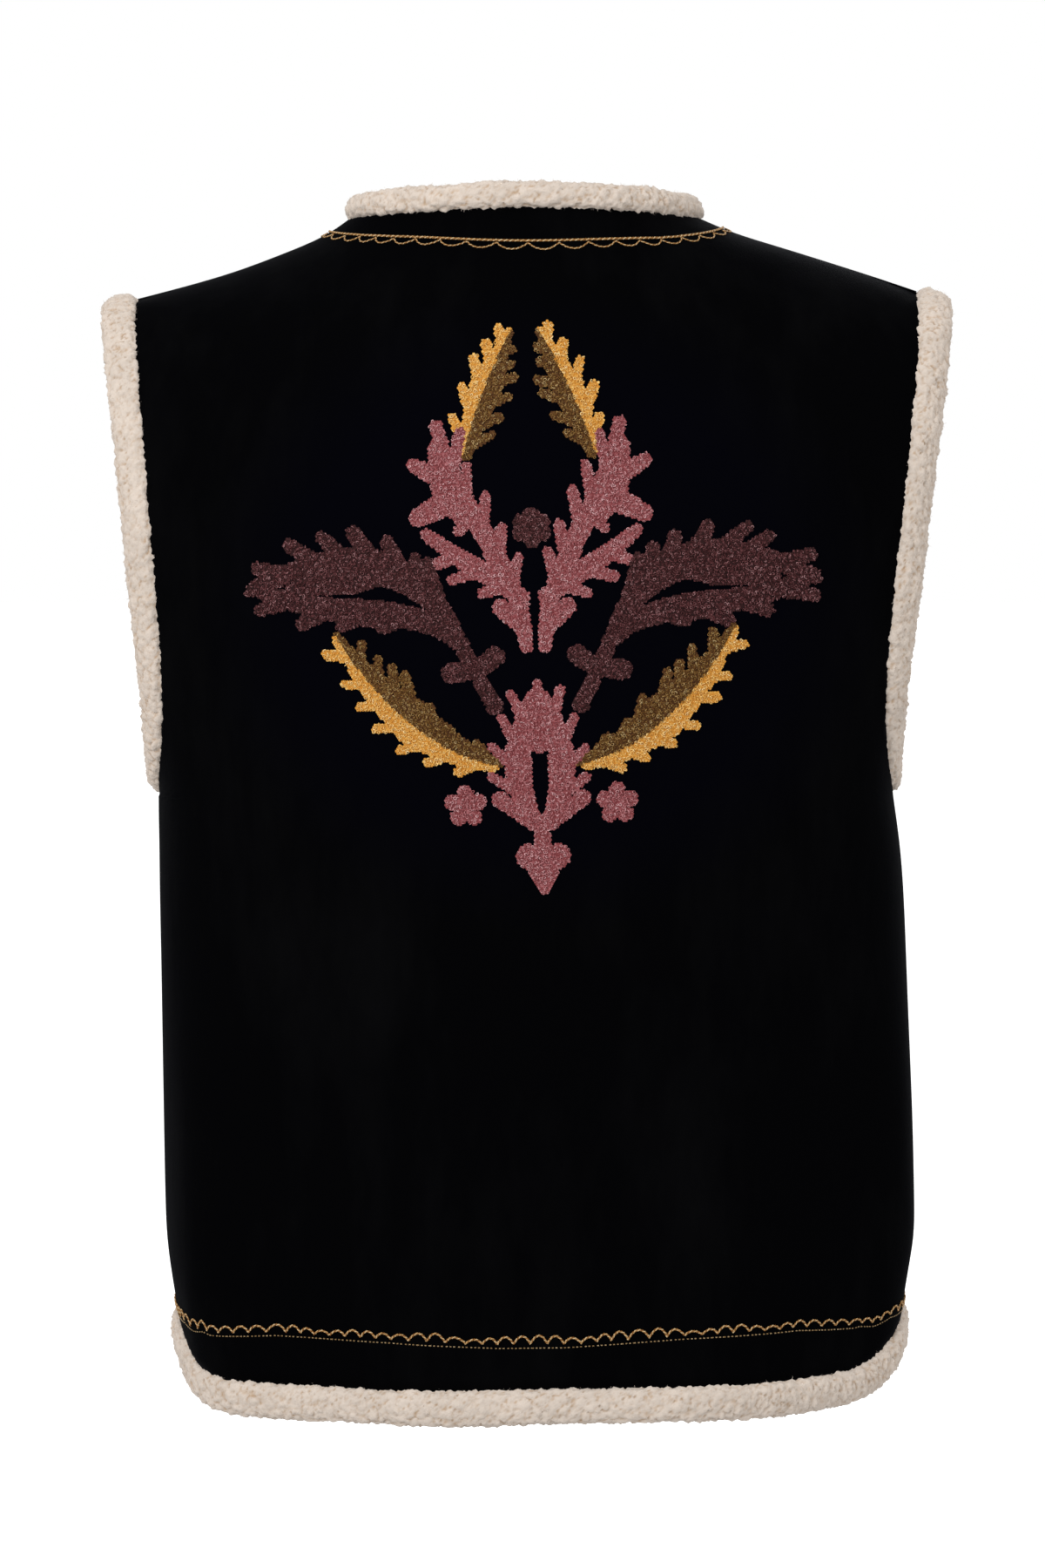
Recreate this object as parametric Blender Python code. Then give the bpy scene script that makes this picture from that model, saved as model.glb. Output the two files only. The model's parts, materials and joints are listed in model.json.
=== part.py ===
"""A sleeveless velvet vest with a thick sherpa edging, hollow and filled out as if worn.

Metres, +Z up. The origin is the middle of the shoulder line, where a wearer's
shoulders carry the vest. The back faces -Y, the front opening faces +Y, and
+X is the wearer's right.

All cloth follows one form, a loft of rows. A row has a level: 0 at the hem, 1
at the underarm, 2 at the shoulder tip and 3 at the neck edge. On each side of
a row, a share runs from 0 at the centre line to 1 at the side seam, at the
armhole or at the shoulder seam. The tables give the velvet's outer face.
"""

import math
from collections import namedtuple

import bmesh
import bpy
import numpy as np

# Cloth and seams
WALL = 0.003  # padded velvet
SEAM_GAP = 0.0003
EDGING_GAP = 0.0005  # between the velvet's edge and the edging
FRONT_EDGE = 0.0205  # from the centre line to a front's velvet edge
FRONT_CLEARANCE = 0.001  # from the centre line to the edging on a front

# Sherpa edging: how far it stands out from the velvet's edge, and how thick it is
Edging = namedtuple("Edging", "width thickness")
HEM_EDGING = Edging(0.0195, 0.0130)
NECK_EDGING = Edging(0.0140, 0.0125)
ARMHOLE_EDGING = Edging(0.0190, 0.0130)
FRONT_EDGING = Edging(FRONT_EDGE - FRONT_CLEARANCE - EDGING_GAP, 0.0125)
NECK_STAND = 0.8  # how much more upright the neck's edging stands than the cloth below it
EDGING_SIDES = 10
EDGING_BLUNTNESS = 2.5  # 2 is an oval, and more is squarer
EDGING_LUMP = 0.0007
LUMP_TURNS = (0.83, 1.37)  # radians of each wave from one station to the next

# How finely each part of a panel is divided
BODY_ROWS, ARMHOLE_ROWS, SHOULDER_ROWS = 12, 13, 5
BACK_COLUMNS = 16  # on each side of the centre
FRONT_COLUMNS = 14
CROWDING = 0.35  # how much closer the columns are towards the side
ARMHOLE_CROWDING = 0.4  # how much closer the rows are at the armhole's ends
FINE = 361  # points that a row is measured on

HEM, UNDERARM, TIP, NECK = 0.0, 1.0, 2.0, 3.0
BACK, FRONT = "back", "front"
RIGHT, LEFT = 1, -1

CENTRE_BACK = (  # level, depth behind the shoulder line, height
    (0.00, 0.1080, -0.5746),
    (0.15, 0.1100, -0.5300),
    (0.50, 0.1050, -0.4250),
    (1.00, 0.1080, -0.2760),
    (1.50, 0.1120, -0.1700),
    (2.00, 0.1040, -0.0720),
    (2.50, 0.0840, -0.0190),
    (2.85, 0.0670, 0.0135),
    (3.00, 0.0630, 0.0283),
)
CENTRE_FRONT = (  # level, depth in front of the shoulder line, height
    (0.00, 0.1020, -0.5746),
    (0.15, 0.1040, -0.5300),
    (0.50, 0.1040, -0.4300),
    (1.00, 0.1100, -0.2950),
    (1.50, 0.1140, -0.2150),
    (2.00, 0.1100, -0.1500),
    (2.50, 0.1010, -0.1050),
    (3.00, 0.0930, -0.0750),
)
SQUARENESS = (  # level, power of the row's oval: 2 is an ellipse, more is squarer
    (0.00, 2.45),
    (1.00, 2.40),
    (1.50, 2.00),
    (1.80, 1.70),
    (2.00, 1.53),
    (2.50, 1.68),
    (3.00, 2.10),
)
# How far each side reaches from the centre line. In the armhole, the part of a level above
# 1 is the part of its height. The left shoulder hangs lower.
REACH = {
    RIGHT: (
        (0.00, 0.1950),
        (0.08, 0.1980),
        (0.18, 0.2015),
        (0.40, 0.2005),
        (0.70, 0.1975),
        (0.88, 0.1948),
        (1.00, 0.1898),
        (1.05, 0.1862),
        (1.11, 0.1835),
        (1.20, 0.1814),
        (1.32, 0.1832),
        (1.45, 0.1862),
        (1.73, 0.1940),
        (1.87, 0.1980),
        (2.00, 0.1996),
    ),
    LEFT: (
        (0.00, 0.1885),
        (0.08, 0.1920),
        (0.18, 0.1945),
        (0.40, 0.1955),
        (0.70, 0.1965),
        (0.88, 0.1972),
        (1.00, 0.1968),
        (1.05, 0.1952),
        (1.11, 0.1930),
        (1.20, 0.1908),
        (1.32, 0.1925),
        (1.45, 0.1945),
        (1.73, 0.2004),
        (1.87, 0.2038),
        (2.00, 0.2065),
    ),
}
SHOULDER = {  # level, reach and height of the shoulder seam
    RIGHT: (
        (2.00, 0.1996, -0.0150),
        (2.12, 0.1880, -0.0098),
        (2.35, 0.1580, 0.0000),
        (2.60, 0.1280, 0.0094),
        (2.85, 0.0995, 0.0180),
        (3.00, 0.0880, 0.0235),
    ),
    LEFT: (
        (2.00, 0.2065, -0.0185),
        (2.12, 0.1930, -0.0145),
        (2.35, 0.1620, -0.0062),
        (2.60, 0.1320, 0.0050),
        (2.85, 0.1045, 0.0165),
        (3.00, 0.0965, 0.0232),
    ),
}
UNDERARM_HEIGHT = -0.2780
SEAM_BOTTOM = -0.5746
ARMHOLE_DEPTH = {BACK: 0.0620, FRONT: 0.0600}  # from the shoulder line
ARMHOLE_FULLNESS = 0.92
EVEN_FROM = 0.35  # above this part of its levels, rows inside the edge climb evenly
EDGE_PULL = 4  # the more, the narrower the strip that still follows the armhole's curve

# The hem lifts into a rounded notch at each side seam.
NOTCH_RISE = 0.025
NOTCH_TOP = 0.014  # half the width of its flat top
NOTCH_FOOT = 0.074  # half its width at the hem
NOTCH_FADE = 0.36  # the level where the rows above no longer lift
HEM_SLOPE = 0.011  # the hem's rise for each metre towards the right

# Soft folds: where each crosses the row, from -2 to 2 with 0 at the centre back and 1 at
# the right side seam, its half width in the same shares, the levels it runs between, and
# how far it stands out.
Fold = namedtuple("Fold", "place half_width low high height")
FOLDS = (
    Fold(-0.72, 0.10, -0.30, 0.85, 0.0040),
    Fold(-0.47, 0.12, -0.30, 0.60, -0.0030),
    Fold(-0.22, 0.11, -0.30, 0.75, 0.0030),
    Fold(0.10, 0.13, -0.30, 0.50, -0.0025),
    Fold(0.42, 0.12, -0.30, 0.80, 0.0035),
    Fold(0.68, 0.11, -0.30, 0.95, -0.0035),
    Fold(0.86, 0.08, -0.30, 0.70, 0.0030),
    Fold(-1.30, 0.12, -0.30, 0.85, 0.0035),
    Fold(-1.62, 0.13, -0.30, 0.60, -0.0030),
    Fold(1.28, 0.12, -0.30, 0.75, 0.0035),
    Fold(1.60, 0.12, -0.30, 0.90, -0.0030),
    Fold(-0.55, 0.20, 1.55, 2.35, 0.0030),
    Fold(0.60, 0.20, 1.60, 2.35, 0.0025),
    Fold(-1.45, 0.18, 1.30, 2.20, 0.0030),
    Fold(1.45, 0.18, 1.35, 2.20, 0.0030),
)

VELVET = ("black velvet", (0.003, 0.003, 0.004), 0.95)
SHERPA = ("cream sherpa", (0.62, 0.52, 0.44), 0.90)
NUDGE = 0.004  # step in share or level that a slope is measured over


def ease(value):
    """0 to 1 with flat ends."""
    value = np.clip(value, 0.0, 1.0)
    return value * value * (3.0 - 2.0 * value)


def follow(table, level, column=1):
    """A smooth value from a table's column, with no overshoot between its rows."""
    keys = np.array([entry[0] for entry in table])
    values = np.array([entry[column] for entry in table])
    steps = np.diff(values) / np.diff(keys)
    same_way = steps[1:] * steps[:-1] > 0
    total = np.where(same_way, steps[1:] + steps[:-1], 1.0)
    middle = np.where(same_way, 2.0 * steps[1:] * steps[:-1] / total, 0.0)
    slopes = np.concatenate([steps[:1], middle, steps[-1:]])
    level = min(max(level, keys[0]), keys[-1])
    i = min(int(np.searchsorted(keys, level, side="right")) - 1, len(keys) - 2)
    width = keys[i + 1] - keys[i]
    u = (level - keys[i]) / width
    near, far = values[i], values[i + 1]
    rise = (3 - 2 * u) * u * u
    bend = u * (1 - u) * ((1 - u) * slopes[i] - u * slopes[i + 1]) * width
    return near + (far - near) * rise + bend


def armhole_height(side):
    return follow(SHOULDER[side], TIP, 2) - UNDERARM_HEIGHT


def edge_of_row(side, part, level):
    """Reach, depth and height of a row's outer end, from its centre line."""
    if level <= UNDERARM:
        height = SEAM_BOTTOM + (UNDERARM_HEIGHT - SEAM_BOTTOM) * level
        return follow(REACH[side], level), 0.0, height
    if level < TIP:
        turn = math.pi * (level - UNDERARM)
        climbed = (1 - math.cos(turn)) / 2
        height = UNDERARM_HEIGHT + armhole_height(side) * climbed
        depth = ARMHOLE_DEPTH[part] * math.sin(turn) ** ARMHOLE_FULLNESS
        return follow(REACH[side], UNDERARM + climbed), depth, height
    return follow(SHOULDER[side], level, 1), 0.0, follow(SHOULDER[side], level, 2)


def fold_height(side, part, shares, level):
    """How far the folds stand out along a row."""
    place = side * (shares if part == BACK else 2.0 - shares)
    height = np.zeros_like(place)
    for fold in FOLDS:
        across = np.exp(-(((place - fold.place) / fold.half_width) ** 2))
        middle, half = (fold.low + fold.high) / 2, (fold.high - fold.low) / 2
        along = ease(1.5 * (1 - abs(level - middle) / half))
        height += fold.height * across * along
    return height


def plan(side, part, level):
    """One side of a row seen from above: x, y, the length so far, full reach and depth."""
    table = CENTRE_BACK if part == BACK else CENTRE_FRONT
    depth = follow(table, level, 1)
    reach, edge_depth, _ = edge_of_row(side, part, level)
    power = follow(SQUARENESS, level)
    inward = (edge_depth / depth) ** power
    full_reach = reach / (1 - inward) ** (1 / power)
    turn = np.linspace(0.0, math.acos(math.sqrt(inward)), FINE)
    x = full_reach * np.sin(turn) ** (2 / power)
    y = depth * np.cos(turn) ** (2 / power)
    length = np.concatenate([[0.0], np.cumsum(np.hypot(np.diff(x), np.diff(y)))])
    return x, y, length, full_reach, depth


def row_length(side, part, level):
    return plan(side, part, level)[2][-1]


def row(side, part, level, shares):
    """Points of the form along one side of a row, at these shares of its length."""
    table = CENTRE_BACK if part == BACK else CENTRE_FRONT
    x, y, length, full_reach, depth = plan(side, part, level)
    height = follow(table, level, 2)
    edge_height = edge_of_row(side, part, level)[2]
    power = follow(SQUARENESS, level)
    along = shares * length[-1]
    x, y = np.interp(along, length, x), np.interp(along, length, y)
    if UNDERARM < level < TIP:  # rows beside the armhole's upper half climb evenly
        up = level - UNDERARM
        even = UNDERARM_HEIGHT + armhole_height(side) * up
        part_even = ease((up - EVEN_FROM) / EVEN_FROM) * (1 - shares**EDGE_PULL)
        edge_height = edge_height + (even - edge_height) * part_even
    z = height + (edge_height - height) * ease(shares)
    from_seam = length[-1] - along
    lift = NOTCH_RISE * ease((NOTCH_FOOT - from_seam) / (NOTCH_FOOT - NOTCH_TOP))
    z = z + (lift + HEM_SLOPE * side * x) * (1 - ease(level / NOTCH_FADE))
    out_x = (x / full_reach) ** (power - 1) / full_reach
    out_y = (y / depth) ** (power - 1) / depth
    out = fold_height(side, part, shares, level) / np.hypot(out_x, out_y)
    facing = -1 if part == BACK else 1
    return np.stack([side * (x + out * out_x), facing * (y + out * out_y), z], axis=1)


def unit(vectors):
    return vectors / np.linalg.norm(vectors, axis=-1, keepdims=True)


def outward(side, part, level, shares):
    """The form's outward normals along a row."""
    before, after = np.clip(shares - NUDGE, 0, 1), np.clip(shares + NUDGE, 0, 1)
    low, high = max(level - NUDGE, HEM), min(level + NUDGE, NECK)
    across = row(side, part, level, after) - row(side, part, level, before)
    up = row(side, part, high, shares) - row(side, part, low, shares)
    turn = side if part == BACK else -side
    normals = unit(turn * np.cross(across, up))
    if part == BACK:  # both halves of the back share the centre line
        centre = shares < 1e-9
        normals[centre, 0] = 0.0
    return unit(normals)


def seam_normals(side, level, normals):
    """The last normal of a row made the same on both sides of a seam."""
    if UNDERARM < level < TIP:
        return normals
    end = np.array([1.0])
    both = outward(side, BACK, level, end) + outward(side, FRONT, level, end)
    normals[-1] = unit(both)[0]
    return normals


def levels():
    """The levels of a panel's rows, from the hem up."""
    body = np.linspace(HEM, UNDERARM, BODY_ROWS + 1)
    steps = np.linspace(0.0, 1.0, ARMHOLE_ROWS + 1)
    steps = steps - ARMHOLE_CROWDING * np.sin(2 * math.pi * steps) / (2 * math.pi)
    armhole = UNDERARM + (TIP - UNDERARM) * steps
    shoulder = np.linspace(TIP, NECK, SHOULDER_ROWS + 1)
    return np.concatenate([body, armhole[1:], shoulder[1:]])


def last_share(side, part, level):
    """The share that leaves half a seam's gap at a row's end."""
    return 1.0 - SEAM_GAP / 2 / row_length(side, part, level)


def spaced(first, last, count):
    """Shares from first to last, closer together towards the last."""
    steps = np.linspace(0.0, 1.0, count + 1)
    return first + (last - first) * steps * (1 + CROWDING - CROWDING * steps)


def back_shares(side, level):
    return spaced(0.0, last_share(side, BACK, level), BACK_COLUMNS)


def front_shares(side, level):
    start = FRONT_EDGE / row_length(side, FRONT, level)
    return spaced(start, last_share(side, FRONT, level), FRONT_COLUMNS)


def back_row(level):
    """Points and normals right across the back, from left to right."""
    points, normals = [], []
    for side in (LEFT, RIGHT):
        shares = back_shares(side, level)
        found = row(side, BACK, level, shares)
        out = seam_normals(side, level, outward(side, BACK, level, shares))
        points.append(found[::-1] if side == LEFT else found[1:])
        normals.append(out[::-1] if side == LEFT else out[1:])
    return np.concatenate(points), np.concatenate(normals)


def front_row(side, level):
    """Points and normals across one front, from its edge at the opening outwards."""
    shares = front_shares(side, level)
    normals = seam_normals(side, level, outward(side, FRONT, level, shares))
    return row(side, FRONT, level, shares), normals


def material(name, colour, roughness):
    found = bpy.data.materials.get(name)
    if found:
        return found
    made = bpy.data.materials.new(name)
    made.use_nodes = True
    shader = made.node_tree.nodes["Principled BSDF"]
    shader.inputs["Base Color"].default_value = (*colour, 1.0)
    shader.inputs["Roughness"].default_value = roughness
    shader.inputs["Metallic"].default_value = 0.0
    return made


def finish(name, mesh, collection, cloth):
    """Turns a bmesh into a named object with its material."""
    bmesh.ops.recalc_face_normals(mesh, faces=mesh.faces)
    if mesh.calc_volume(signed=True) < 0:
        bmesh.ops.reverse_faces(mesh, faces=mesh.faces)
    data = bpy.data.meshes.new(name)
    mesh.to_mesh(data)
    mesh.free()
    data.materials.append(material(*cloth))
    data.shade_smooth()
    data.set_sharp_from_angle(angle=math.radians(50))
    made = bpy.data.objects.new(name, data)
    collection.objects.link(made)
    return made


def panel(name, rows, collection):
    """A wall of cloth: a grid laid on the form, and its faces extruded inwards."""
    outer = np.array([points for points, _ in rows])
    inner = outer - WALL * np.array([normals for _, normals in rows])
    row_count, column_count = outer.shape[:2]
    mesh = bmesh.new()
    bmesh.ops.create_grid(
        mesh, x_segments=column_count - 1, y_segments=row_count - 1, size=0.5
    )
    spots = {}
    for vertex in mesh.verts:
        column = round((vertex.co.x + 0.5) * (column_count - 1))
        line = round((vertex.co.y + 0.5) * (row_count - 1))
        spots[vertex] = (line, column)
    grown = bmesh.ops.extrude_face_region(mesh, geom=mesh.faces[:], use_keep_orig=True)
    for item in grown["geom"]:
        if isinstance(item, bmesh.types.BMVert):
            column = round((item.co.x + 0.5) * (column_count - 1))
            line = round((item.co.y + 0.5) * (row_count - 1))
            item.co = inner[line, column]
    for vertex, spot in spots.items():
        vertex.co = outer[spot]
    return finish(name, mesh, collection, VELVET)


def lumps(stations):
    """The edging's slow unevenness along its length, from -1 to 1."""
    first, second = (np.sin(turn * np.arange(stations)) for turn in LUMP_TURNS)
    return (first + second) / 2


def edging(name, edge, normals, out, size, closed, collection):
    """A thick rounded band that stands out from an edge of the velvet.

    edge and normals run along the velvet's outer face, and out is the way the band
    stands from it.
    """
    lean = (normals * out).sum(axis=1, keepdims=True)
    across = unit(normals - lean * out)
    middle = edge - WALL / 2 * normals + (EDGING_GAP + WALL / 2 * lean) * out
    stations = len(edge)
    swell = EDGING_LUMP * lumps(stations)

    bpy.ops.mesh.primitive_torus_add(
        major_segments=stations, minor_segments=EDGING_SIDES
    )
    torus = bpy.context.object
    mesh = bmesh.new()
    mesh.from_mesh(torus.data)
    bpy.data.objects.remove(torus)
    mesh.verts.ensure_lookup_table()
    for station in range(stations):
        width = size.width / 2 + swell[station] / 2
        thickness = size.thickness / 2 - swell[station] / 2
        for step in range(EDGING_SIDES):
            angle = 2 * math.pi * (step + 0.5) / EDGING_SIDES
            cosine, sine = math.cos(angle), math.sin(angle)
            away = math.copysign(abs(cosine) ** (2 / EDGING_BLUNTNESS), cosine)
            aside = math.copysign(abs(sine) ** (2 / EDGING_BLUNTNESS), sine)
            largest = math.cos(math.pi / EDGING_SIDES) ** (2 / EDGING_BLUNTNESS)
            offset = width * (1 + away / largest) * out[station]
            offset = offset + thickness * aside * across[station]
            vertex = mesh.verts[station * EDGING_SIDES + step]
            vertex.co = middle[station] + offset
    if not closed:
        last = {mesh.verts[(stations - 1) * EDGING_SIDES + k] for k in range(EDGING_SIDES)}
        first = {mesh.verts[k] for k in range(EDGING_SIDES)}
        joining = [
            face
            for face in mesh.faces
            if first & set(face.verts) and last & set(face.verts)
        ]
        bmesh.ops.delete(mesh, geom=joining, context="FACES")
        bmesh.ops.holes_fill(mesh, edges=mesh.edges, sides=EDGING_SIDES)
    return finish(name, mesh, collection, SHERPA)


def armhole_edge(side):
    """Up the back of an armhole, over the shoulder tip and down its front.

    Like the other edges below, it gives points, normals and the way its band stands.
    """
    rows = [level for level in levels() if UNDERARM <= level <= TIP]
    end = np.array([1.0])
    points, normals = [], []
    for part, heights in ((BACK, rows[:-1]), (FRONT, rows[:0:-1])):
        for level in heights:
            points.append(row(side, part, level, end)[0])
            out = seam_normals(side, level, outward(side, part, level, end))
            normals.append(out[-1])
    edge, normals = np.array(points), np.array(normals)
    steps = unit(np.roll(edge, -1, axis=0) - edge)
    tangents = steps + np.roll(steps, 1, axis=0)
    return edge, normals, unit(side * np.cross(tangents, normals))


def round_edge(level):
    """Right round the hem or neck, from the right front to the left one."""
    points, normals = [], []
    for side in (RIGHT, LEFT):
        start = FRONT_CLEARANCE / row_length(side, FRONT, level)
        front = np.concatenate([[start], front_shares(side, level)[:-1]])
        back = back_shares(side, level)
        back[-1] = 1.0
        half_points, half_normals = [], []
        for part, shares in ((FRONT, front), (BACK, back[::-1])):
            half_points.append(row(side, part, level, shares))
            half_normals.append(outward(side, part, level, shares))
        found = np.concatenate(half_points)
        out = np.concatenate(half_normals)
        points.append(found if side == RIGHT else found[-2::-1])
        normals.append(out if side == RIGHT else out[-2::-1])
    edge, normals = np.concatenate(points), np.concatenate(normals)
    steps = unit(np.diff(edge, axis=0))
    across_centre = np.array([[1.0, 0.0, 0.0]])  # where the two fronts meet
    tangents = np.concatenate([across_centre, steps[1:] + steps[:-1], across_centre])
    if level == HEM:
        return edge, normals, unit(np.cross(normals, tangents))
    out = unit(np.cross(tangents, normals))
    return edge, normals, unit(out + NECK_STAND * np.array([0.0, 0.0, 1.0]))


def front_edge(side):
    """Up the edge of a front at the opening, kept clear of the hem and neck edgings."""
    found = [front_row(side, level) for level in levels()]
    edge = np.array([points[0] for points, _ in found])
    normals = np.array([normals[0] for _, normals in found])
    centre = []
    for level in levels():
        share = FRONT_CLEARANCE / row_length(side, FRONT, level)
        centre.append(row(side, FRONT, level, np.array([share]))[0])
    out = unit(np.array(centre) - edge)
    edge[0] += EDGING_GAP * unit(edge[1] - edge[0])
    edge[-1] += EDGING_GAP * unit(edge[-2] - edge[-1])
    return edge, normals, out


def main():
    for old in list(bpy.data.objects):
        bpy.data.objects.remove(old)
    vest = bpy.data.collections.new("vest")
    bpy.context.scene.collection.children.link(vest)

    panel("back", [back_row(level) for level in levels()], vest)
    for side, word in ((RIGHT, "right"), (LEFT, "left")):
        rows = [front_row(side, level) for level in levels()]
        panel(f"front_{word}", rows, vest)
        edging(f"armhole_edging_{word}", *armhole_edge(side), ARMHOLE_EDGING, True, vest)
        edging(f"front_edging_{word}", *front_edge(side), FRONT_EDGING, False, vest)
    edging("hem_edging", *round_edge(HEM), HEM_EDGING, False, vest)
    edging("neck_edging", *round_edge(NECK), NECK_EDGING, False, vest)


main()
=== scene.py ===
import json
import math
import random

import bmesh
import bpy
import numpy as np
from bpy.props import FloatProperty, FloatVectorProperty, IntProperty, PointerProperty
from bpy.types import Operator, Panel, PropertyGroup
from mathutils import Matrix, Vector
from mathutils.bvhtree import BVHTree
from mathutils.kdtree import KDTree

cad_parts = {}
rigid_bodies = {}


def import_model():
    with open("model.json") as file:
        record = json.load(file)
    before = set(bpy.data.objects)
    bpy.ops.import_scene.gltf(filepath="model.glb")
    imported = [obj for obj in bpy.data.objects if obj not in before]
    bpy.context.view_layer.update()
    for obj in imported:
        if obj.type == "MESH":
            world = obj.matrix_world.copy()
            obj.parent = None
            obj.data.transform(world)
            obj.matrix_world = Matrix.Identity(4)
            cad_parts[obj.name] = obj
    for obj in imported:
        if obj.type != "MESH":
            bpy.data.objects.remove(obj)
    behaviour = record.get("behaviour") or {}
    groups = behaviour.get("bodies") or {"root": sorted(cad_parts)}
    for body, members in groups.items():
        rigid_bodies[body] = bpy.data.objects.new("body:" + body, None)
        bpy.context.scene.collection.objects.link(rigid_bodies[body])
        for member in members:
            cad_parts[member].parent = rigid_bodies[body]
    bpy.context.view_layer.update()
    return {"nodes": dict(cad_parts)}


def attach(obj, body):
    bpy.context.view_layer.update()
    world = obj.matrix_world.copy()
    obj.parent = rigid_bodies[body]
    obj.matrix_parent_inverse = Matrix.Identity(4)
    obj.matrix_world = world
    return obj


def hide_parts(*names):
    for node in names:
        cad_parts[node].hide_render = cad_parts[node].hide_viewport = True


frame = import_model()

bl_info = {
    "name": "Embroidered Velvet Vest",
    "version": (1, 0, 0),
    "blender": (4, 5, 0),
    "location": "View3D > Sidebar > Vest",
    "description": "Dresses the vest's solids in velvet, sherpa edging, gold stitching and embroidery",
    "category": "Object",
}

# Sizes are in metres unless a name ends in MM.
MM = 0.001
BODY = "root"

PANELS = {"back": "velvet_back", "front_right": "velvet_front_right", "front_left": "velvet_front_left"}
# The strip of each edging that shows: width and length. The width is the distance all round the
# solid's section, which is its surface over its length, less the side that lies against the velvet's
# edge. The length is an estimate.
EDGINGS = {
    "hem_edging": (0.0447, 0.94),
    "neck_edging": (0.0344, 0.54),
    "armhole_edging_right": (0.0447, 0.54),
    "armhole_edging_left": (0.0440, 0.54),
    "front_edging_right": (0.0457, 0.46),
    "front_edging_left": (0.0457, 0.46),
}


def linear(code):
    """Turns an sRGB hex colour into the linear values that Blender works in."""
    shades = [int(code[i : i + 2], 16) / 255 for i in (1, 3, 5)]
    return tuple(s / 12.92 if s <= 0.04045 else ((s + 0.055) / 1.055) ** 2.4 for s in shades)


def colour(name, text, code):
    """A colour that a user can change, stored as linear values."""
    return FloatVectorProperty(name=name, description=text, subtype="COLOR", size=3, min=0, max=1,
                               default=linear(code))


def length(name, text, millimetres):
    """A size that a user can change, given in millimetres and stored in metres."""
    return FloatProperty(name=name, description=text, default=millimetres * MM, min=0,
                         precision=5, subtype="DISTANCE", unit="LENGTH")


class VestVelvetSettings(PropertyGroup):
    pile: colour("Pile", "Black cotton pile", "#030304")
    # The nap's colour is painted sheen: a lighter black where the nap leans towards the light.
    nap_sheen: colour("Brushed nap", "Patches where the pile leans towards the light", "#070708")
    pressed: colour("Pressed pile", "Pile that the embroidery frame has pressed flat", "#030307")
    reverse: colour("Reverse", "Woven back of the velvet, inside the vest", "#151516")
    edge_tuck: length("Edge tuck", "How far the velvet's edge runs into the edging", 2.0)
    seam_tuck: length("Seam tuck", "How far two panels close up at a seam", 0.2)
    smoothness: IntProperty(name="Smoothness", description="Subdivision levels", default=2, min=1, max=3)


class VestSherpaSettings(PropertyGroup):
    tuft: colour("Tuft", "Cream tips of the pile", "#cdc0b4")
    # The tan between tufts is painted shade, laid in the crevices of the pile.
    shade: colour("Between tufts", "Tan ground between the curls", "#ad8f70")
    clump: length("Clump width", "Width of the clumps that the pile gathers in", 7.2)
    nub: length("Nub width", "Width of one curled nub", 4.2)
    curl: length("Curl width", "Width of the small curls on a nub", 2.7)
    relief: length("Relief", "Height from the ground to the top of the pile", 2.7)
    mesh: length("Mesh size", "Size of the even mesh that the nubs are raised on", 1.2)
    fuzz: IntProperty(name="Fuzz", description="Loose fibres on each metre of edging", default=5200)


class VestEmbroiderySettings(PropertyGroup):
    gold: colour("Gold", "Bright gold thread", "#eec57a")
    olive: colour("Olive", "Olive gold thread", "#93723e")
    rose: colour("Rose", "Rose thread", "#be8487")
    burgundy: colour("Burgundy", "Burgundy thread", "#724446")
    spacing: length("Loop spacing", "Distance between two loops", 1.85)
    loop: length("Loop length", "Length of one loop of thread", 2.1)
    thread: length("Thread", "Thickness of the thread", 0.52)
    tilt: FloatProperty(name="Tilt", description="Turn of the whole design", default=math.radians(1.4),
                        subtype="ANGLE", unit="ROTATION")


class VestStitchingSettings(PropertyGroup):
    gold: colour("Gold cord", "Twisted gold cord", "#b08a56")
    pale: colour("Pale gold", "Fine pale gold thread", "#a58d68")
    hem_rise: length("Hem line", "Height of the line above the velvet's lower edge", 21.5)
    side_rise: length("Hem line at the sides", "Height of the line above the edge at the side seams", 1.5)
    neck_drop: length("Neck line", "Depth of the line below the velvet's neck edge", 12.0)
    neck_sag: length("Neck line's sag", "How much lower the line hangs at the middle of the back", 6.5)


class VestStageSettings(PropertyGroup):
    distance: FloatProperty(name="Camera distance", description="From the camera to the shoulder line",
                            default=3.0, subtype="DISTANCE", unit="LENGTH")
    pitch: FloatProperty(name="Camera pitch", description="How far the camera looks down",
                         default=math.radians(5.2), subtype="ANGLE", unit="ROTATION")
    lens: FloatProperty(name="Lens", description="Focal length for a 36 mm sensor height",
                        default=131.1, subtype="DISTANCE_CAMERA", unit="CAMERA")
    floor: FloatProperty(name="Floor", description="Height of the floor", default=-1.0,
                         subtype="DISTANCE", unit="LENGTH")
    paper: colour("Paper", "Pale studio paper", "#f4f4f4")
    room: FloatProperty(name="Room light", description="Strength of the soft light from all round",
                        default=0.72, min=0, max=2)


# Meshes

def select_none():
    """Leaves nothing selected, because an operator acts on all that is selected."""
    for other in bpy.context.selected_objects:
        other.select_set(False)


def only(piece):
    """Leaves one object selected and active."""
    select_none()
    piece.select_set(True)
    bpy.context.view_layer.objects.active = piece


def apply(piece, kind, **settings):
    """Adds a modifier to a piece and applies it."""
    only(piece)
    modifier = piece.modifiers.new(kind.title(), kind)
    for name, value in settings.items():
        setattr(modifier, name, value)
    bpy.ops.object.modifier_apply(modifier=modifier.name)


def linked(name, mesh):
    """A mesh as a piece in the scene."""
    piece = bpy.data.objects.new(name, mesh)
    bpy.context.scene.collection.objects.link(piece)
    return piece


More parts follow.
